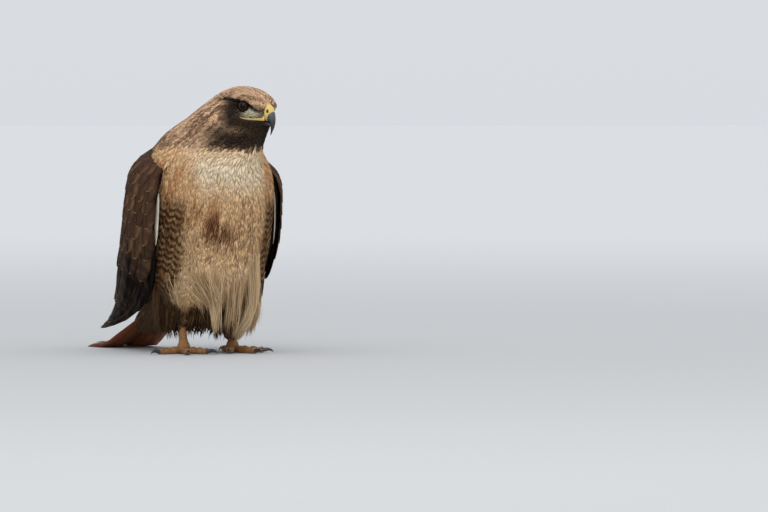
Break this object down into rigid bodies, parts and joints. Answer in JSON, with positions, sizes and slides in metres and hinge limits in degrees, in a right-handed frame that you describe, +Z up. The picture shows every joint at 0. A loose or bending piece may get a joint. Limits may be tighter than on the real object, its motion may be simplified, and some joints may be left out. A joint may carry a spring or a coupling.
{
  "type": "red-tailed hawk figure",
  "caption": "Life-size still figure of a perched bird of prey, standing on its feet with its head turned and wings folded.",
  "frame": {"origin": "on the floor, at the middle of the figure's outer box", "axes": "+Z up, the bird's breast faces -Y, its tail lies towards +Y, its left side is +X"},
  "size_m": [0.2164, 0.4108, 0.3469],
  "materials": {
    "plumage": "matte brown head and neck feathers",
    "breast": "matte buff breast feathers with rufous and brown streaks",
    "flight": "dark brown wing feathers with pale edges, slight sheen",
    "rufous_tail": "brick-red tail feathers with a dark band and pale tip",
    "thigh": "matte buff leg feathers with brown bars",
    "cere": "waxy yellow skin",
    "horn": "smooth slate-grey to black horn",
    "scaled_skin": "scaled ochre-yellow skin",
    "eye": "wet, glossy dark brown"
  },
  "bodies": {
    "root": {"head": "plumage", "neck": "plumage", "torso": "breast", "tail": "rufous_tail", "cere": "cere", "bill_upper": "horn", "bill_lower": "horn", "eye_left": "eye", "wing_left": "flight", "thigh_left": "thigh", "shank_left": "scaled_skin", "toe_left_outer": "scaled_skin", "claw_left_outer": "horn", "toe_left_middle": "scaled_skin", "claw_left_middle": "horn", "toe_left_inner": "scaled_skin", "claw_left_inner": "horn", "toe_left_hind": "scaled_skin", "claw_left_hind": "horn", "eye_right": "eye", "wing_right": "flight", "thigh_right": "thigh", "shank_right": "scaled_skin", "toe_right_outer": "scaled_skin", "claw_right_outer": "horn", "toe_right_middle": "scaled_skin", "claw_right_middle": "horn", "toe_right_inner": "scaled_skin", "claw_right_inner": "horn", "toe_right_hind": "scaled_skin", "claw_right_hind": "horn"}
  },
  "joints": []
}
